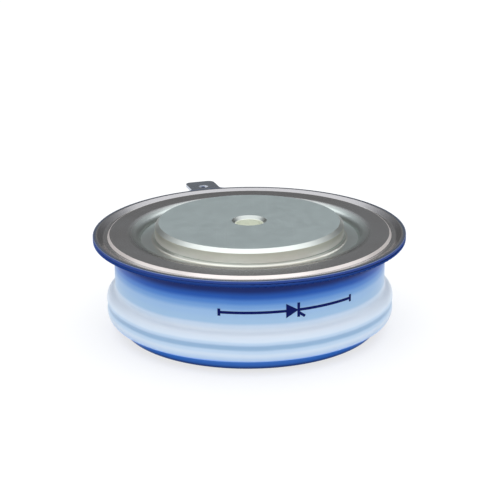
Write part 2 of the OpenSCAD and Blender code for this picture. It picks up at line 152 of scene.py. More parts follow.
class Bench:
    """One node tree, with short calls that add nodes and link them."""

    def __init__(self, tree: Tree) -> None:
        """Keep the tree that the calls work on."""
        self.tree = tree

    def add(self, kind: str, **settings: Any) -> Node:
        """Add a node and set its properties.

        Args:
            kind: Blender's name for the type of node.
            **settings: Properties of the node.

        Returns:
            The new node.
        """
        node = self.tree.nodes.new(kind)
        for name, value in settings.items():
            setattr(node, name, value)
        return node

    def put(self, socket: Socket, value: Any) -> None:
        """Link an input to an output, or set its value.

        Args:
            socket: Input socket.
            value: Output socket, number or colour.
        """
        if isinstance(value, Socket):
            self.tree.links.new(value, socket)
        else:
            socket.default_value = value

    def feed(self, node: Node, *values: Any) -> Socket:
        """Put values into a node's inputs, in their order.

        Args:
            node: The node.
            *values: Numbers, colours, vectors or output sockets.

        Returns:
            The node's first output.
        """
        for socket, value in zip(node.inputs, values):
            self.put(socket, value)
        return node.outputs[0]

    def fill(self, node: Node, **values: Any) -> Node:
        """Put values into a node's inputs by name.

        Args:
            node: The node.
            **values: Values by the input's name in small letters, with _ for a space.

        Returns:
            The node.
        """
        for name, value in values.items():
            label = name.replace("_", " ").title().replace("Ior", "IOR")
            self.put(node.inputs[label], value)
        return node

    def math(self, operation: str, first: Any, second: Any = 0.0) -> Socket:
        """Result of a Math node on two numbers or output sockets."""
        return self.feed(self.add("ShaderNodeMath", operation=operation), first, second)

    def plus(self, first: Any, second: Any) -> Socket:
        """Sum of two values."""
        return self.math("ADD", first, second)

    def times(self, first: Any, second: Any) -> Socket:
        """Product of two values."""
        return self.math("MULTIPLY", first, second)

    def rest(self, share: Any) -> Socket:
        """What a share leaves of 1."""
        return self.math("SUBTRACT", 1.0, share)

    def step(self, value: Any, low: float, high: float, start: float = 0.0, end: float = 1.0) -> Socket:
        """Smooth step from start to end, while the value goes from the low limit to the high one."""
        node = self.add("ShaderNodeMapRange", interpolation_type="SMOOTHSTEP")
        return self.feed(node, value, low, high, start, end)

    def band(self, value: Any, low: float, high: float, soft: float) -> Socket:
        """Mask that is 1 between two limits, with soft edges of a given width."""
        rise = self.step(value, low - soft / 2, low + soft / 2)
        return self.times(rise, self.step(value, high - soft / 2, high + soft / 2, 1.0, 0.0))

    def blend(self, factor: Any, first: Any, second: Any) -> Socket:
        """Colour between two colours.

        Args:
            factor: 0 gives the first colour and 1 the second.
            first: Colour or output socket.
            second: Colour or output socket.

        Returns:
            The mixed colour.
        """
        node = self.add("ShaderNodeMix", data_type="RGBA")
        self.put(node.inputs[0], factor)
        self.put(node.inputs[6], first)
        self.put(node.inputs[7], second)
        return node.outputs[2]

    def ramp(self, value: Any, stops: Stops) -> Socket:
        """Colour that follows a value through several stops.

        Args:
            value: Output socket.
            stops: Values with their colours, smallest first.

        Returns:
            The colour.
        """
        low, high = stops[0][0], stops[-1][0]
        share = self.feed(self.add("ShaderNodeMapRange"), value, low, high, 0.0, 1.0)
        node = self.add("ShaderNodeValToRGB")
        node.color_ramp.interpolation = "EASE"
        elements = node.color_ramp.elements
        while len(elements) < len(stops):
            elements.new(0.5)
        for element, (place, colour) in zip(elements, stops):
            element.position = (place - low) / (high - low)
            element.color = colour
        return self.feed(node, share)

    def noise(self, vector: Any, scale: Any, detail: float = 2.0) -> Socket:
        """Noise around 0.5, with a scale in cycles per unit of the vector and a detail in octaves."""
        node = self.add("ShaderNodeTexNoise")
        return self.fill(node, vector=vector, scale=scale, detail=detail).outputs[0]

    def place(self, group: Tree, **values: Any) -> Any:
        """Place a node group, fill its inputs and give its outputs."""
        return self.fill(self.add("ShaderNodeGroup", node_tree=group), **values).outputs


class Effects:
    """Shader node groups that several finishes share, each built once."""

    def __init__(self) -> None:
        """Build the groups."""
        self.polar = self._polar()
        self.turning = self._turning()
        self.scratches = self._scratches()
        self.mottle = self._mottle()
        self.specks = self._specks()

    @staticmethod
    def _group(name: str, inputs: tuple[str, ...], *outputs: str) -> tuple[Bench, Any, Any]:
        """Start a node group.

        Args:
            name: Name of the group.
            inputs: Names of its inputs, which are values but for the vector Place.
            *outputs: Names of its outputs, which are values.

        Returns:
            A bench on the group, what it is given and what it results in.
        """
        tree = bpy.data.node_groups.new(name, "ShaderNodeTree")
        for label in inputs:
            kind = "NodeSocketVector" if label == "Place" else "NodeSocketFloat"
            tree.interface.new_socket(label, in_out="INPUT", socket_type=kind)
        for label in outputs:
            tree.interface.new_socket(label, in_out="OUTPUT", socket_type="NodeSocketFloat")
        bench = Bench(tree)
        return bench, bench.add("NodeGroupInput").outputs, bench.add("NodeGroupOutput").inputs

    def _polar(self) -> Tree:
        """Radius and height about the capsule's axis in millimetres, and the angle in radians.

        Returns:
            The group.
        """
        bench, given, result = self._group("polar_place", ("Place",), "Radius", "Height", "Angle")
        split = bench.add("ShaderNodeSeparateXYZ")
        bench.feed(split, given["Place"])
        x, y, z = split.outputs
        squares = bench.plus(bench.times(x, x), bench.times(y, y))
        bench.put(result["Radius"], bench.times(bench.math("SQRT", squares), 1 / MM))
        bench.put(result["Height"], bench.times(z, 1 / MM))
        bench.put(result["Angle"], bench.math("ARCTAN2", y, x))
        return bench.tree

    def _turning(self) -> Tree:
        """Fine rings that a turning tool leaves, with a slower swell across them.

        Returns:
            The group.
        """
        inputs = ("Radius", "Height", "Angle", "Lines")
        bench, given, result = self._group("turning_marks", inputs, "Marks")
        across, along = (bench.times(given[name], given["Lines"]) for name in ("Radius", "Height"))
        around = bench.times(bench.math("COSINE", given["Angle"]), 0.6)
        place = bench.feed(bench.add("ShaderNodeCombineXYZ"), across, around, along)
        fine, swell = bench.noise(place, 1.0, 3.0), bench.noise(place, 0.12, 1.0)
        bench.put(result["Marks"], bench.plus(bench.times(fine, 0.7), bench.times(swell, 0.3)))
        return bench.tree

    def _scratches(self) -> Tree:
        """Sparse hairline scratches in three directions across a flat face.

        Returns:
            The group.
        """
        bench, given, result = self._group("hairline_scratches", ("Place",), "Mask")
        total: Any = 0.0
        for turn in (0.35, 1.5, 2.55):
            mapping = bench.fill(bench.add("ShaderNodeMapping"), vector=given["Place"],
                                 rotation=(0.0, 0.0, turn), scale=(1.0 / MM, 0.03 / MM, 1.0 / MM))
            line = bench.noise(mapping.outputs[0], 2.2, 1.0)
            total = bench.math("MAXIMUM", total, bench.step(line, 0.68, 0.76))
        bench.put(result["Mask"], total)
        return bench.tree

    def _mottle(self) -> Tree:
        """Slow uneven patches between two values.

        Returns:
            The group.
        """
        bench, given, result = self._group("uneven_patches", ("Place", "Scale", "Low", "High"), "Value")
        cloud = bench.noise(given["Place"], given["Scale"], 4.0)
        spread = bench.math("SUBTRACT", given["High"], given["Low"])
        grown = bench.times(bench.step(cloud, 0.3, 0.7), spread)
        bench.put(result["Value"], bench.plus(grown, given["Low"]))
        return bench.tree

    def _specks(self) -> Tree:
        """Small round specks in some of the cells, such as filler in a moulding.

        Returns:
            The group.
        """
        bench, given, result = self._group("small_specks", ("Place", "Scale", "Size"), "Mask")
        cells = bench.add("ShaderNodeTexVoronoi")
        bench.fill(cells, vector=given["Place"], scale=given["Scale"])
        near = bench.math("LESS_THAN", cells.outputs["Distance"], given["Size"])
        red = bench.feed(bench.add("ShaderNodeSeparateColor"), cells.outputs["Color"])
        some = bench.math("GREATER_THAN", red, 0.82)
        bench.put(result["Mask"], bench.times(near, some))
        return bench.tree


@dataclass
class Canvas:
    """What a finish works with: the material's bench, its shader, places on the piece and the groups."""

    bench: Bench
    shader: Node
    effects: Effects
    place: Socket
    radius: Socket
    height: Socket
    angle: Socket

    def set(self, **values: Any) -> None:
        """Fill the shader's inputs by name."""
        self.bench.fill(self.shader, **values)

    def turning(self, lines: float) -> Socket:
        """Turning marks at a number of lines per millimetre."""
        return self.bench.place(self.effects.turning, radius=self.radius, height=self.height,
                                angle=self.angle, lines=lines)[0]

    def mottle(self, scale: float, low: float, high: float) -> Socket:
        """Uneven patches between two values, at a scale in cycles per metre."""
        return self.bench.place(self.effects.mottle, place=self.place, scale=scale,
                                low=low, high=high)[0]

    def scratches(self) -> Socket:
        """Mask of hairline scratches."""
        return self.bench.place(self.effects.scratches, place=self.place)[0]

    def specks(self, scale: float, size: float) -> Socket:
        """Mask of specks at a scale in cycles per metre and a share of their cell."""
        return self.bench.place(self.effects.specks, place=self.place, scale=scale, size=size)[0]

    def relief(self, height: Socket, depth: float, under: Socket | None = None) -> Socket:
        """Normal of a bump.

        Args:
            height: Height, from 0 to 1.
            depth: Depth in metres.
            under: Normal that the bump lies on.

        Returns:
            The normal.
        """
        node = self.bench.fill(self.bench.add("ShaderNodeBump"), distance=depth, height=height)
        if under is not None:
            self.bench.put(node.inputs["Normal"], under)
        return node.outputs[0]


def blank(name: str) -> tuple[Material, Bench, Node, Socket]:
    """Start a material.

    Args:
        name: Its name.

    Returns:
        The material, a bench on its nodes, its shader and the place in Object coordinates.
    """
    material = bpy.data.materials.new(name)
    material.use_nodes = True
    bench = Bench(material.node_tree)
    shader = material.node_tree.nodes["Principled BSDF"]
    return material, bench, shader, bench.add("ShaderNodeTexCoord").outputs["Object"]


@dataclass(frozen=True)
class Finish(ABC):
    """A surface finish, which makes one material."""

    name: str

    def material(self, effects: Effects) -> Material:
        """Make the material.

        Args:
            effects: The shared node groups.

        Returns:
            The new material.
        """
        material, bench, shader, place = blank(self.name)
        radius, height, angle = bench.place(effects.polar, place=place)
        self.paint(Canvas(bench, shader, effects, place, radius, height, angle))
        return material

    @abstractmethod
    def paint(self, canvas: Canvas) -> None:
        """Set the shader's colour, roughness and relief."""


@dataclass(frozen=True)
class PlatedPole(Finish):
    """Plated copper pole: a matt lapped face, bright chamfers, a satin turned wall with painted shading,
    darker under the chamfer and lighter towards the lid, and a bore with a painted highlight.
    """

    capsule: Capsule
    face: Colour = srgb(176, 187, 187)
    face_cloud: Colour = srgb(167, 178, 178)
    scratch: Colour = srgb(225, 230, 230)
    wall: Colour = srgb(255, 246, 240)
    # Painted shade: the wall's tone just under the chamfer; it lightens towards the lid.
    wall_end: Colour = srgb(196, 191, 179)
    bright: Colour = srgb(199, 204, 200)
    mouth: Colour = srgb(174, 179, 176)
    # Painted highlight: a light tone on the bore's wall.
    bore: Colour = srgb(224, 227, 215)
    soft: float = 0.03
    wall_end_h: float = 1.4
    face_matt: float = 0.11
    bore_dull: float = 0.7
    grain_depth: float = 0.003 * MM
    marks_depth: float = 0.0015 * MM

    def paint(self, canvas: Canvas) -> None:
        """Mask the face, the chamfers, the wall and the bore, and give each its look.

        Args:
            canvas: The material's canvas.
        """
        bench, cap = canvas.bench, self.capsule
        mouth_r, middle = cap.hole_mouth_r / MM, cap.height / 2 / MM
        wall_top = middle - (cap.pole_r - cap.face_r) / MM
        from_middle = bench.math("ABSOLUTE", bench.math("SUBTRACT", canvas.height, middle))
        at_end = bench.step(from_middle, middle - 0.06, middle - 0.02)
        face = bench.times(at_end, bench.band(canvas.radius, mouth_r, cap.face_r / MM, self.soft))
        near_end = bench.step(from_middle, wall_top - self.soft, wall_top + self.soft)
        chamfer = bench.times(near_end, bench.rest(face))
        bore = bench.step(canvas.radius, cap.hole_r / MM + 0.02, cap.hole_r / MM + 0.06, 1.0, 0.0)
        in_mouth = bench.step(canvas.radius, mouth_r + 0.1, mouth_r + 0.3, 1.0, 0.0)
        # Painted shading: the wall darkens from the lid up to the chamfer.
        up_wall = bench.step(from_middle, wall_top - self.wall_end_h, wall_top)
        wall = bench.blend(up_wall, self.wall, self.wall_end)
        edges = bench.blend(in_mouth, self.bright, self.mouth)
        lapped = bench.blend(canvas.mottle(260.0, 0.0, 0.3), self.face, self.face_cloud)
        colour = bench.blend(face, bench.blend(chamfer, wall, edges), lapped)
        colour = bench.blend(bench.times(canvas.scratches(), 0.04), colour, self.scratch)
        marks = canvas.turning(5.0)
        rough = bench.plus(canvas.mottle(700.0, 0.31, 0.35), bench.times(marks, 0.04))
        grain = bench.times(bench.noise(canvas.place, 5200.0, 3.0), face)
        relief = canvas.relief(grain, self.grain_depth)
        # The bore takes its painted highlight, and loses most of its metal so that it shows from every
        # side.
        canvas.set(
            base_color=bench.blend(bore, colour, self.bore),
            metallic=bench.rest(bench.times(bore, self.bore_dull)),
            roughness=bench.plus(rough, bench.times(face, self.face_matt)),
            normal=canvas.relief(bench.times(marks, bench.rest(chamfer)), self.marks_depth, relief))


@dataclass(frozen=True)
class PlatedLid(Finish):
    """Plated thin sheet: a darker flat flange, a paler trough, painted highlights on the weld groove's
    inner wall and in the tab's hole, and a painted blue reflection on the lip and the flange's edge.

    A pair holds two distances in millimetres: outwards from the pole's wall for collar_end,
    trough_end and roll, upwards from the flange's face for top_skin, between_faces and face_edge,
    and outwards from the flange's edge for the others.
    """

    capsule: Capsule
    tab_hole_place: Pair
    flat: Colour = srgb(182, 182, 183)
    trough: Colour = srgb(194, 203, 201)
    collar: Colour = srgb(198, 200, 192)
    tarnish: Colour = srgb(158, 152, 147)
    # Painted highlight: a light tone on the weld groove's inner wall.
    painted_groove_highlight: Colour = srgb(232, 224, 221)
    sloped: Colour = srgb(157, 156, 158)
    # Painted reflection: the blue of the flange's edge.
    blue: Colour = srgb(32, 64, 140)
    # Painted reflection: a blue-grey tint on the lip's outer ring.
    painted_lip_reflection: Colour = srgb(126, 146, 180)
    tab: Colour = srgb(176, 184, 196)
    # Painted highlight: a light tone on the wall of the tab's hole.
    tab_hole: Colour = srgb(226, 230, 236)
    collar_end: Pair = (0.4, 0.6)
    trough_end: Pair = (2.5, 4.0)
    roll: Pair = (2.7, 3.8)
    wall_band: Pair = (-2.2, -1.88)
    slope_band: Pair = (-1.35, -0.6)
    lip_band: Pair = (-0.4, 0.05)
    rim_band: Pair = (-0.1, 0.03)
    root_band: Pair = (0.0, 0.5)
    tab_start: Pair = (0.02, 0.1)
    top_skin: Pair = (-0.38, -0.34)
    between_faces: Pair = (-0.36, -0.04)
    face_edge: Pair = (-0.06, 0.0)
    tab_hole_r: float = 0.7
    edge_matt: float = 0.5
    paint_dull: float = 0.6
    marks_depth: float = 0.0015 * MM
    wave_depth: float = 0.02 * MM
    roll_depth: float = 0.22 * MM

    def paint(self, canvas: Canvas) -> None:
        """Mask the parts of the sheet, and give each its look.

        Args:
            canvas: The material's canvas.
        """
        bench, pole_r = canvas.bench, self.capsule.pole_r
        flat = self._past(canvas, pole_r, self.trough_end)
        groove_wall = self._on_top(canvas, self.wall_band)
        in_hole, side = self._in_tab_hole(canvas), self._side(canvas)
        colour = bench.blend(flat, self.trough, self.flat)
        colour = bench.blend(self._past(canvas, pole_r, self.collar_end), self.collar, colour)
        colour = bench.blend(canvas.mottle(90.0, 0.0, 0.35), colour, self.tarnish)
        colour = bench.blend(self._on_top(canvas, self.slope_band), colour, self.sloped)
        # Painted highlight on the weld groove's inner wall.
        colour = bench.blend(groove_wall, colour, self.painted_groove_highlight)
        # Painted blue-grey reflection on the lip's outer ring.
        colour = bench.blend(bench.times(self._ring(canvas, self.lip_band, 0.12), 0.8), colour, self.painted_lip_reflection)
        # The wall of the tab's hole takes a painted highlight.
        tab = bench.blend(in_hole, self.tab, self.tab_hole)
        colour = bench.blend(self._past(canvas, self.capsule.flange_r, self.tab_start), colour, tab)
        marks = canvas.turning(4.0)
        rough = bench.plus(bench.step(flat, 0.0, 1.0, 0.26, 0.22), bench.times(marks, 0.06))
        # Painted parts lose most of their metal, so their painted highlights and painted blue reflection
        # look lit from every side.
        painted = bench.plus(bench.plus(in_hole, groove_wall), side)
        relief = canvas.relief(marks, self.marks_depth)
        relief = canvas.relief(bench.noise(canvas.place, 260.0, 1.0), self.wave_depth, relief)
        canvas.set(
            # Painted blue reflection on the flange's edge.
            base_color=bench.blend(side, colour, self.blue),
            metallic=bench.rest(bench.times(painted, self.paint_dull)),
            roughness=bench.plus(rough, bench.times(side, self.edge_matt)),
            normal=canvas.relief(self._past(canvas, pole_r, self.roll), self.roll_depth, relief))

    @staticmethod
    def _past(canvas: Canvas, radius: float, limits: Pair) -> Socket:
        """Mask that rises between two distances outwards from a radius."""
        return canvas.bench.step(canvas.radius, *(radius / MM + limit for limit in limits))

    def _ring(self, canvas: Canvas, limits: Pair, soft: float) -> Socket:
        """Mask of a ring between two distances from the flange's edge."""
        low, high = (self.capsule.flange_r / MM + limit for limit in limits)
        return canvas.bench.band(canvas.radius, low, high, soft)

    def _on_top(self, canvas: Canvas, limits: Pair) -> Socket:
        """Mask of a ring of the sheet's upper face."""
        above = canvas.bench.step(canvas.height, *self._heights(self.top_skin))
        return canvas.bench.times(above, self._ring(canvas, limits, 0.06))

    def _heights(self, limits: Pair) -> tuple[float, ...]:
        """Heights in millimetres of two distances upwards from the flange's face."""
        return tuple(self.capsule.flange_z / MM + limit for limit in limits)

    def _side(self, canvas: Canvas) -> Socket:
        """Mask of the flange's edge, on round the root of the tab, which takes the painted blue
        reflection.

        Args:
            canvas: The material's canvas.

        Returns:
            The mask.
        """
        bench = canvas.bench
        below = bench.step(canvas.height, *self._heights(self.face_edge), 1.0, 0.25)
        rim = bench.times(self._ring(canvas, self.rim_band, 0.04), below)
        within = bench.band(canvas.height, *self._heights(self.between_faces), 0.02)
        root = bench.times(self._ring(canvas, self.root_band, 0.04), within)
        return bench.math("MAXIMUM", rim, root)

    def _in_tab_hole(self, canvas: Canvas) -> Socket:
        """Mask of the wall of the tab's hole, which takes a painted highlight.

        Args:
            canvas: The material's canvas.

        Returns:
            The mask.
        """
        bench, end = canvas.bench, self.tab_hole_r
        away = bench.add("ShaderNodeVectorMath", operation="DISTANCE")
        bench.feed(away, canvas.place, (*self.tab_hole_place, self.capsule.flange_z))
        return bench.step(away.outputs["Value"], (end - 0.04) * MM, end * MM, 1.0, 0.0)


@dataclass(frozen=True)
class PlateWithPaintedBlue(Finish):
    """Plated flange with a painted blue reflection on its outer edge, darker towards the bottom as
    painted shade, which fades to plain plating inwards.
    """

    edge_r: float
    low_z: float
    high_z: float
    # Painted blue reflection, with painted shade in the low stop.
    high: Colour = srgb(88, 136, 208)
    middle: Colour = srgb(66, 112, 192)
    low: Colour = srgb(2, 26, 92)
    plain: Colour = srgb(150, 156, 162)
    gloss_tint: Colour = srgb(140, 176, 228)
    fade_band: Pair = (-3.2, -0.6)
    metallic: float = 0.85
    marks_depth: float = 0.003 * MM

    def paint(self, canvas: Canvas) -> None:
        """Blend the painted blue reflection by height, with painted shade at the bottom, and fade it
        towards the axis.

        Args:
            canvas: The material's canvas.
        """
        bench = canvas.bench
        low, high = self.low_z / MM, self.high_z / MM
        stops = (low, self.low), ((low + high) / 2, self.middle), (high, self.high)
        fade = bench.step(canvas.radius, *(self.edge_r / MM + limit for limit in self.fade_band))
        marks = canvas.turning(5.0)
        canvas.set(
            base_color=bench.blend(fade, self.plain, bench.ramp(canvas.height, stops)),
            metallic=self.metallic,
            roughness=bench.plus(canvas.mottle(500.0, 0.24, 0.34), bench.times(marks, 0.08)),
            specular_tint=self.gloss_tint,
            normal=canvas.relief(marks, self.marks_depth))


@dataclass(frozen=True)
class Glaze(Finish):
    """Glazed alumina: pale blue-white ribs and a neck that deepens to navy under the flange, all painted
    by height; the blue is a painted reflection over white glaze, the dark band between the ribs is
    painted shade and the navy is a painted shadow.

    The stops are heights in millimetres from the ceramic's foot or from its top, with their colours.
    """

    foot_z: float
    top_z: float
    # Stops from the foot: a painted blue reflection over the white glaze, with painted shade in the
    # groove between the ribs at 1.75 and 2.1.
    from_foot_with_painted_shade: Stops = (
        (0.0, srgb(140, 180, 240)), (0.3, srgb(182, 204, 230)), (0.95, srgb(199, 213, 229)),
        (1.4, srgb(182, 203, 224)), (1.75, srgb(147, 176, 205)), (2.1, srgb(147, 176, 205)),
        (2.5, srgb(182, 203, 225)), (2.9, srgb(206, 218, 232)), (3.6, srgb(214, 223, 234)),
        (4.4, srgb(192, 208, 227)))
    # Stops from the top: a painted shadow under the flange that deepens to navy, in the painted blue
    # reflection.
    from_top_with_painted_shadow: Stops = (
        (-5.6, srgb(156, 187, 217)), (-4.3, srgb(149, 182, 219)), (-3.5, srgb(112, 156, 210)),
        (-2.9, srgb(78, 130, 202)), (-2.2, srgb(26, 84, 174)), (-1.3, srgb(4, 36, 106)),
        (0.0, srgb(4, 22, 76)))
    wander: float = 0.06
    refraction: float = 1.27
    wave_depth: float = 0.003 * MM

    def paint(self, canvas: Canvas) -> None:
        """Colour the glaze by height, which paints its blue reflection, its shade and its shadow, with a
        soft waviness.

        Args:
            canvas: The material's canvas.
        """
        bench = canvas.bench
        height = bench.plus(canvas.height, canvas.mottle(120.0, -self.wander, self.wander))
        ends = (self.foot_z, self.from_foot_with_painted_shade), (self.top_z, self.from_top_with_painted_shadow)
        stops = tuple((end / MM + shift, tone) for end, part in ends for shift, tone in part)
        # The height ramp paints light and shade into the glaze's base colour.
        canvas.set(
            base_color=bench.ramp(height, stops), metallic=0.0,
            roughness=canvas.mottle(300.0, 0.28, 0.34), ior=self.refraction,
            normal=canvas.relief(bench.noise(canvas.place, 300.0, 1.0), self.wave_depth))


@dataclass(frozen=True)
class TurnedMetal(Finish):
    """Plain turned or rolled metal of one colour."""

    tone: Colour
    dark: Colour
    roughness: float = 0.32
    lines: float = 5.0
    depth: float = 0.005 * MM
    spread: float = 0.06

    def paint(self, canvas: Canvas) -> None:
        """Turning marks, patches and scratches in one metal.

        Args:
            canvas: The material's canvas.
        """
        bench = canvas.bench
        marks = canvas.turning(self.lines)
        colour = bench.blend(bench.times(marks, 0.5), self.tone, self.dark)
        rough = canvas.mottle(600.0, self.roughness - self.spread, self.roughness + self.spread)
        canvas.set(
            base_color=bench.blend(canvas.mottle(350.0, 0.0, 0.25), colour, self.dark), metallic=1.0,
            roughness=bench.plus(rough, bench.times(canvas.scratches(), 0.1)),
            normal=canvas.relief(marks, self.depth))


@dataclass(frozen=True)
class Moulded(Finish):
    """Moulded or press-formed insulating material, such as fluoropolymer, rubber or mica."""

    tone: Colour
    fleck: Colour
    roughness: float = 0.5
    gloss: float = 0.5
    grain_depth: float = 0.01 * MM

    def paint(self, canvas: Canvas) -> None:
        """Soft patches, fine flecks and a faint grain.

        Args:
            canvas: The material's canvas.
        """
        bench = canvas.bench
        colour = bench.blend(canvas.mottle(400.0, 0.0, 0.4), self.tone, self.fleck)
        canvas.set(
            base_color=bench.blend(bench.times(canvas.specks(1600.0, 0.2), 0.5), colour, self.fleck),
            metallic=0.0, roughness=canvas.mottle(900.0, self.roughness - 0.06, self.roughness + 0.08),
            specular_ior_level=self.gloss,
            normal=canvas.relief(bench.noise(canvas.place, 2600.0, 4.0), self.grain_depth))


class Shop:
    """Modelling steps that the pieces share."""

    @staticmethod
    def clear() -> None:
        """Deselect everything before a new primitive."""
        bpy.ops.object.select_all(action="DESELECT")

    @staticmethod
    def pick(*pieces: Piece) -> None:
        """Select some pieces alone.

        Args:
            *pieces: The pieces, of which the first becomes the active one.
        """
        Shop.clear()
        for piece in pieces:
            piece.select_set(True)
        bpy.context.view_layer.objects.active = pieces[0]

    @staticmethod
    @contextmanager
    def editing(piece: Piece) -> Iterator[bmesh.types.BMesh]:
        """Edit mode on one piece.

        Args:
            piece: The piece.

        Yields:
            Its edit mesh, through which edges are selected.
        """
        Shop.pick(piece)
        bpy.ops.object.mode_set(mode="EDIT")
        yield bmesh.from_edit_mesh(piece.data)
        bpy.ops.object.mode_set(mode="OBJECT")

    @staticmethod
    def seat(piece: Piece) -> None:
        """Apply the piece's place, turn and scale to its mesh."""
        Shop.pick(piece)
        bpy.ops.object.transform_apply(location=True, rotation=True, scale=True)

    @staticmethod
    def modify(piece: Piece, kind: str, **settings: Any) -> None:
        """Add a modifier with its settings and apply it.

        Args:
            piece: The piece.
            kind: Blender's name for the modifier.
            **settings: The modifier's properties.
        """
        Shop.pick(piece)
        modifier = piece.modifiers.new(kind.lower(), kind)
        for name, value in settings.items():
            setattr(modifier, name, value)
        bpy.ops.object.modifier_apply(modifier=modifier.name)

    @staticmethod
    def fit(piece: Piece, material: Material, slot: str | None = None) -> None:
        """Dress a finished piece and let it ride on the part.

        Args:
            piece: The piece, with its place in its mesh.
            material: Its material.
            slot: Not used.
        """
        piece.data.materials.clear()
        piece.data.materials.append(material)
        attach(piece, BODY)
        log.info("%s: %d faces", piece.name, len(piece.data.polygons))


class Corner(Enum):
    """Which way a braze fillet's corner opens: outwards, and up or down."""

    UP = 1
    DOWN = -1


@dataclass
class BrazeFillet:
    """Ring of braze with a hollow face, in the corner between a round wall and a flat."""

    name: str
    radius: float
    height: float
    leg: float
    corner: Corner
    hollow: float = 0.62
    ease: float = 0.45
    steps: int = 160

    def build(self) -> Piece:
        """Model the fillet's section from a square and spin it round the axis.

        Returns:
            The finished ring.
        """
        Shop.clear()
        rise = self.leg * self.corner.value
        bpy.ops.mesh.primitive_plane_add(
            size=self.leg, rotation=(math.pi / 2, 0, 0),
            location=(self.radius + self.leg / 2, 0, self.height + rise / 2))
        piece = bpy.context.object
        piece.name = piece.data.name = self.name
        Shop.seat(piece)
        tip = Vector((self.radius + self.leg, 0, self.height + rise))
        with Shop.editing(piece):
            bpy.ops.mesh.delete(type="ONLY_FACE")
            mesh = bmesh.from_edit_mesh(piece.data)
            for vertex in mesh.verts:
                vertex.select = (vertex.co - tip).length < self.leg / 4
            mesh.select_flush(False)
            bmesh.update_edit_mesh(piece.data)
            pull = self.leg * self.hollow
            bpy.ops.transform.translate(value=(-pull, 0, -pull * self.corner.value))
            bpy.ops.mesh.bevel(offset=self.leg * self.ease, segments=4, affect="VERTICES")
            bpy.ops.mesh.select_all(action="SELECT")
            centre = (0, 0, self.height)
            bpy.ops.mesh.spin(steps=self.steps, angle=2 * math.pi, center=centre, axis=(0, 0, 1))
            bpy.ops.mesh.select_all(action="SELECT")
            bpy.ops.mesh.remove_doubles(threshold=self.leg / 100)
            bpy.ops.mesh.normals_make_consistent(inside=False)
        Shop.pick(piece)
        bpy.ops.object.shade_smooth_by_angle(angle=math.radians(40))
        return piece


@dataclass
class PrintedSymbol:
    """Circuit symbol of a thyristor in ink, wrapped round the ceramic's neck with long leads."""

    name: str
    radius: float
    height: float
    azimuth: float
    length: float = 18.0 * MM
    size: float = 1.9 * MM
    stroke: float = 0.36 * MM
    film: float = 0.03 * MM
    gate_start: float = 0.35
    gate_reach: float = 0.45

    def _bar(self, start: Pair, end: Pair, cuts: int = 0) -> Piece:
        """Flat stroke that faces the front.

        Args:
            start: Distance along the print and height of one end.
            end: The same of the other end.
            cuts: Cuts along the stroke, so that it can bend.

        Returns:
            The stroke.
        """
        run, rise = end[0] - start[0], end[1] - start[1]
        Shop.clear()
        bpy.ops.mesh.primitive_plane_add(
            size=1, rotation=(math.pi / 2, -math.atan2(rise, run), 0),
            location=((start[0] + end[0]) / 2, 0, (start[1] + end[1]) / 2))
        stroke = bpy.context.object
        stroke.scale = (math.hypot(run, rise), self.stroke, 1)
        Shop.seat(stroke)
        if cuts:
            with Shop.editing(stroke) as mesh:
                for edge in mesh.edges:
                    edge.select = abs(edge.verts[0].co.x - edge.verts[1].co.x) > abs(run) / 2
                bmesh.update_edit_mesh(stroke.data)
                bpy.ops.mesh.subdivide(number_cuts=cuts)
        return stroke

    def _triangle(self) -> Piece:
        """Filled triangle that points along the print.

        Returns:
            The triangle.
        """
        Shop.clear()
        bpy.ops.mesh.primitive_circle_add(
            vertices=3, radius=self.size / math.sqrt(3), fill_type="TRIFAN",
            rotation=(math.pi / 2, math.pi / 2, 0))
        triangle = bpy.context.object
        Shop.seat(triangle)
        with Shop.editing(triangle):
            bpy.ops.mesh.select_all(action="SELECT")
            bpy.ops.mesh.subdivide(number_cuts=2)
        return triangle

    def build(self) -> Piece:
        """Draw the symbol flat, give it the ink's thickness and bend it to the neck.

        Returns:
            The finished print.
        """
        half, foot = self.length / 2, -self.size / 2
        tip = self.size / math.sqrt(3)
        gate = (tip, foot * self.gate_start), (tip + self.size * self.gate_reach, foot)
        strokes = [
            self._triangle(),
            self._bar((-half, 0), (-tip / 2, 0), cuts=7),
            self._bar((tip, 0), (half, 0), cuts=7),
            self._bar((tip, foot), (tip, -foot)),
            self._bar(*gate),
            *(self._bar((end, foot / 2), (end, -foot / 2)) for end in (-half, half)),
        ]
        Shop.pick(*strokes)
        bpy.ops.object.join()
        piece = bpy.context.object
        piece.name = piece.data.name = self.name
        bend = (self.length + self.stroke) / self.radius
        Shop.modify(piece, "SOLIDIFY", thickness=self.film, offset=0.0)
        Shop.modify(piece, "SIMPLE_DEFORM", deform_method="BEND", deform_axis="Z", angle=bend)
        piece.location = (0, -self.radius, self.height)
        Shop.seat(piece)
        piece.rotation_euler = (0, 0, self.azimuth)
        Shop.seat(piece)
        return piece


@dataclass(frozen=True)
class Lamp:
    """Soft rectangular lamp that faces the object; a radiance of 1 is white paper in plain light."""

    name: str
    place: Triple
    size: Pair
    radiance: float
    tint: Triple = (0.97, 0.99, 1.0)

    def build(self) -> None:
        """Make the lamp, which the camera doesn't see."""
        bpy.ops.object.light_add(type="AREA", location=self.place)
        lamp = bpy.context.object
        lamp.name = self.name
        lamp.rotation_euler = Vector(self.place).to_track_quat("Z", "Y").to_euler()
        lamp.data.shape = "RECTANGLE"
        lamp.data.size, lamp.data.size_y = self.size
        lamp.data.energy = self.radiance * math.pi * self.size[0] * self.size[1]
        lamp.data.color = self.tint
        lamp.visible_camera = False


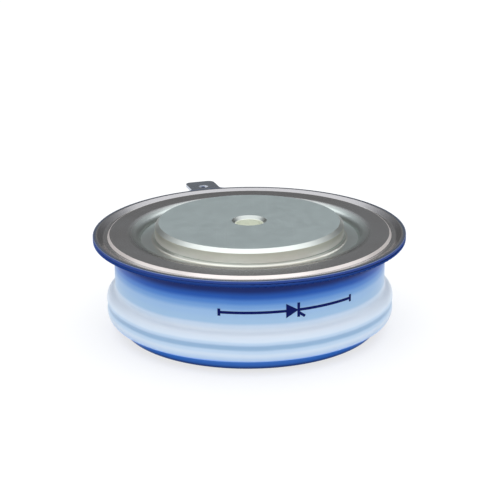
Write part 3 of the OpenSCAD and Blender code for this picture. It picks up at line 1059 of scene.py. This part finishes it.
@dataclass
class Studio:
    """Pale floor, soft lamps, a soft world and the camera, with its angles in degrees."""

    capsule: Capsule
    elevation: float = 17.587
    distance: float = 200.0 * MM
    focal_px: float = 1485.292
    pan: float = 0.0197
    tilt: float = -0.7907
    roll: float = -0.496
    floor_size: float = 8.0
    floor_drop: float = 0.01 * MM
    floor_tone: Colour = srgb(247, 248, 250)
    floor_shade: float = 0.985
    floor_glow: float = 0.7
    far_side: Colour = (0.15, 0.15, 0.15, 1.0)
    near_side: Colour = (0.90, 0.90, 0.87, 1.0)
    zenith: Colour = (0.70, 0.72, 0.75, 1.0)
    near_limits: Pair = (-0.6, 0.05)
    zenith_limits: Pair = (0.25, 0.75)
    lamps: tuple[Lamp, ...] = (
        Lamp("overhead", (0.0, -0.02, 0.9), (1.8, 2.0), 1.15, (1.0, 1.0, 1.0)),
        Lamp("left_side", (-0.95, -0.05, 0.36), (0.7, 0.55), 0.65),
        Lamp("right_side", (0.95, -0.05, 0.36), (0.7, 0.55), 0.65))

    def build(self, effects: Effects) -> None:
        """Make the camera, the world, the lamps and the floor.

        Args:
            effects: The shared node groups.
        """
        self._camera()
        self._world()
        self._floor(effects)
        for lamp in self.lamps:
            lamp.build()

    @staticmethod
    def _turned(first: Vector, second: Vector, degrees: float) -> tuple[Vector, Vector]:
        """Two crossed directions after a turn of the first towards the second."""
        angle = math.radians(degrees)
        return (first * math.cos(angle) + second * math.sin(angle),
                second * math.cos(angle) - first * math.sin(angle))

    def _camera(self) -> None:
        """Camera at the photograph's viewing angle, turned a little from the flange's centre."""
        elevation = math.radians(self.elevation)
        forward = Vector((0, math.cos(elevation), -math.sin(elevation)))
        right = Vector((1, 0, 0))
        up = Vector((0, math.sin(elevation), math.cos(elevation)))
        place = Vector((0, 0, self.capsule.flange_z)) - forward * self.distance
        forward, right = self._turned(forward, right, self.pan)
        forward, up = self._turned(forward, up, self.tilt)
        right, up = self._turned(right, up, self.roll)
        bpy.ops.object.camera_add()
        camera = bpy.context.object
        aim = Matrix((right, up, -forward)).transposed().to_4x4()
        camera.matrix_world = Matrix.Translation(place) @ aim
        camera.data.sensor_width = SENSOR_MM
        camera.data.lens = self.focal_px * SENSOR_MM / PHOTO_PX
        camera.data.clip_start = 0.01
        bpy.context.scene.camera = camera

    def _world(self) -> None:
        """Soft surroundings: dim beyond the object, pale on the near side and overhead."""
        world = bpy.data.worlds.new("studio")
        bpy.context.scene.world = world
        world.use_nodes = True
        bench = Bench(world.node_tree)
        split = bench.add("ShaderNodeSeparateXYZ")
        bench.feed(split, bench.add("ShaderNodeTexCoord").outputs["Generated"])
        near = bench.step(split.outputs["Y"], *self.near_limits, 1.0, 0.0)
        sides = bench.blend(near, self.far_side, self.near_side)
        overhead = bench.step(split.outputs["Z"], *self.zenith_limits)
        sky = bench.blend(overhead, sides, self.zenith)
        bench.put(world.node_tree.nodes["Background"].inputs["Color"], sky)

    def _floor(self, effects: Effects) -> None:
        """Plain pale floor, a hair under the contact face so that they share no plane.

        Args:
            effects: The shared node groups.
        """
        Shop.clear()
        bpy.ops.mesh.primitive_plane_add(size=self.floor_size, location=(0, 0, -self.floor_drop))
        floor = bpy.context.object
        floor.name = "floor"
        material, bench, shader, place = blank("floor_paper")
        shade = bench.place(effects.mottle, place=place, scale=3.0, low=0.0, high=1.0)[0]
        darker = (*(value * self.floor_shade for value in self.floor_tone[:3]), 1.0)
        tone = bench.blend(shade, darker, self.floor_tone)
        bench.fill(shader, base_color=tone, roughness=0.9, specular_ior_level=0.1)
        white = bench.add("ShaderNodeEmission")
        rays = bench.add("ShaderNodeLightPath").outputs
        mirrored = bench.math("MAXIMUM", rays["Is Glossy Ray"], rays["Is Transmission Ray"])
        seen = bench.times(bench.math("MAXIMUM", rays["Is Camera Ray"], mirrored), self.floor_glow)
        mix = bench.feed(bench.add("ShaderNodeMixShader"), seen, shader.outputs[0], white.outputs[0])
        bench.put(material.node_tree.nodes["Material Output"].inputs["Surface"], mix)
        floor.data.materials.append(material)


def dress(finish: Finish, effects: Effects, *nodes: str) -> None:
    """Make a finish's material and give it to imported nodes.

    Args:
        finish: The finish.
        effects: The shared node groups.
        *nodes: Names of the nodes.
    """
    material = finish.material(effects)
    for node in nodes:
        for slot in frame["nodes"][node].material_slots:
            slot.material = material
        log.info("%s: %s", node, material.name)


@dataclass
class ContactPoles:
    """The two contact poles."""

    capsule: Capsule
    nodes: tuple[str, ...] = ("anode_pole", "cathode_pole")

    def build(self, effects: Effects) -> None:
        """Dress both poles."""
        dress(PlatedPole("plated_pole_finish", self.capsule), effects, *self.nodes)


@dataclass
class WeldedFlange:
    """Lid, weld ring and the braze that holds the ring on the ceramic."""

    capsule: Capsule
    bead_leg: float = 0.25 * MM
    sink: float = 0.03 * MM

    def build(self, effects: Effects, solder: Material) -> None:
        """Dress the two sheets and model their braze.

        Args:
            effects: The shared node groups.
            solder: The braze's material.
        """
        cap = self.capsule
        hole = next(mount for mount in frame["record"]["mounts"] if mount["name"] == TAB_HOLE)
        lid = PlatedLid("plated_lid_finish", cap, tuple(hole["pos_m"][:2]))
        dress(lid, effects, "cathode_lid")
        # The weld ring's edge takes the painted blue reflection, darker towards the bottom as painted
        # shade.
        ring = PlateWithPaintedBlue(
            "weld_ring_finish", cap.flange_r, cap.ceramic_top_z, cap.weld_ring_z, high=srgb(40, 70, 138),
            middle=srgb(28, 56, 122), low=srgb(16, 40, 102), plain=srgb(104, 120, 154))
        dress(ring, effects, "weld_ring")
        wall_r = cap.neck_r - self.sink
        bead = BrazeFillet("ceramic_top_braze", wall_r, cap.ceramic_top_z, self.bead_leg, Corner.DOWN)
        Shop.fit(bead.build(), solder, "plated_ring")


@dataclass
class CeramicHousing:
    """Glazed ceramic on its lower flange, with a printed circuit symbol."""

    capsule: Capsule
    print_azimuth: float = math.radians(16)
    print_drop: float = 4.25 * MM

    def build(self, effects: Effects) -> None:
        """Dress the ceramic and the lower flange.

        Args:
            effects: The shared node groups.
        """
        cap = self.capsule
        glaze = Glaze("glazed_ceramic_finish", cap.ceramic_foot_z, cap.ceramic_top_z)
        dress(glaze, effects, "ceramic_housing")
        # The lower flange takes the painted blue reflection, darker towards the bottom as painted shade.
        rim = PlateWithPaintedBlue("lower_flange_finish", cap.rim_r, cap.rim_low_z, cap.ceramic_foot_z)
        dress(rim, effects, "anode_flange")
        height = cap.ceramic_top_z - self.print_drop
        symbol = PrintedSymbol("printed_symbol", cap.neck_r, height, self.print_azimuth)
        ink = Moulded("navy_ink_finish", srgb(3, 16, 82), srgb(8, 24, 92), roughness=0.6, gloss=0.08)
        Shop.fit(symbol.build(), ink.material(effects))


@dataclass
class SealedStack:
    """Pieces sealed inside the capsule."""

    def build(self, effects: Effects) -> None:
        """Dress each inner piece.

        Args:
            effects: The shared node groups.
        """
        dress(TurnedMetal("molybdenum_finish", srgb(150, 152, 158), srgb(112, 114, 120)), effects,
              "anode_disc", "cathode_disc")
        dress(TurnedMetal("contact_finish", srgb(222, 220, 214), srgb(180, 176, 168), 0.22), effects,
              "gate_contact", "gate_lead")
        dress(TurnedMetal("spring_finish", srgb(196, 198, 202), srgb(150, 152, 158), 0.25), effects,
              "gate_spring")
        dress(TurnedMetal("silicon_finish", srgb(84, 90, 106), srgb(64, 68, 82), 0.12, 0.5), effects,
              "silicon_wafer")
        dress(Moulded("fluoropolymer_finish", srgb(238, 238, 232), srgb(222, 222, 214), 0.4), effects,
              "centring_ring", "gate_contact_sleeve", "gate_lead_sleeve")
        dress(Moulded("edge_rubber_finish", srgb(172, 78, 58), srgb(146, 60, 44), 0.6), effects,
              "wafer_edge_ring")
        dress(Moulded("mica_finish", srgb(214, 202, 170), srgb(190, 176, 142), 0.45), effects,
              "gate_spring_washer")


@dataclass
class GateOutlet:
    """Gate tube, its holed blade, the braze round the tube and the solder over the blade's tongue."""

    capsule: Capsule
    bead_leg: float = 0.3 * MM
    sink: float = 0.03 * MM
    solder_r: float = 0.32 * MM
    solder_shape: Triple = (1.5, 2.2, 1.25)

    def build(self, effects: Effects, solder: Material) -> None:
        """Dress the tube and the blade, and model the braze and the solder.

        Args:
            effects: The shared node groups.
            solder: The braze's material.
        """
        cap = self.capsule
        plated = TurnedMetal("gate_outlet_finish", srgb(200, 202, 204), srgb(176, 178, 182), 0.3,
                             depth=0.0008 * MM)
        dress(plated, effects, "gate_tube", "gate_terminal")
        fillet = BrazeFillet("gate_tube_braze", cap.tube_r, 0.0, self.bead_leg, Corner.UP, steps=48)
        bead = fillet.build()
        self._aim(bead, cap.neck_r - self.sink)
        Shop.fit(bead, solder, "plated_ring")
        Shop.clear()
        bpy.ops.mesh.primitive_uv_sphere_add(segments=32, ring_count=16, radius=self.solder_r)
        drop = bpy.context.object
        drop.name = drop.data.name = "gate_blade_solder"
        drop.scale = self.solder_shape
        Shop.seat(drop)
        bpy.ops.object.shade_smooth()
        self._aim(drop, cap.tube_end)
        Shop.fit(drop, solder, "plated_ring")

    def _aim(self, piece: Piece, distance: float) -> None:
        """Turn a piece from the Z axis to the gate tube's.

        Args:
            piece: The piece, which stands at the origin.
            distance: Its new distance from the capsule's axis.
        """
        along = Vector((math.cos(self.capsule.gate_angle), math.sin(self.capsule.gate_angle), 0))
        piece.rotation_euler = along.to_track_quat("Z", "X").to_euler()
        piece.location = along * distance + Vector((0, 0, self.capsule.lead_z))
        Shop.seat(piece)


def main() -> None:
    """Build the sub-assemblies in order."""
    logging.basicConfig(level=logging.INFO, format="%(name)s %(message)s")
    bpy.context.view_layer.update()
    capsule = Capsule.measure()
    log.info("%s", capsule)
    effects = Effects()
    Studio(capsule).build(effects)
    solder = TurnedMetal("braze_finish", srgb(204, 203, 200), srgb(184, 182, 178), 0.5,
                         depth=0.0005 * MM).material(effects)
    ContactPoles(capsule).build(effects)
    WeldedFlange(capsule).build(effects, solder)
    CeramicHousing(capsule).build(effects)
    SealedStack().build(effects)
    GateOutlet(capsule).build(effects, solder)
    bpy.context.scene.view_settings.view_transform = "Standard"


if __name__ == "__main__":
    main()
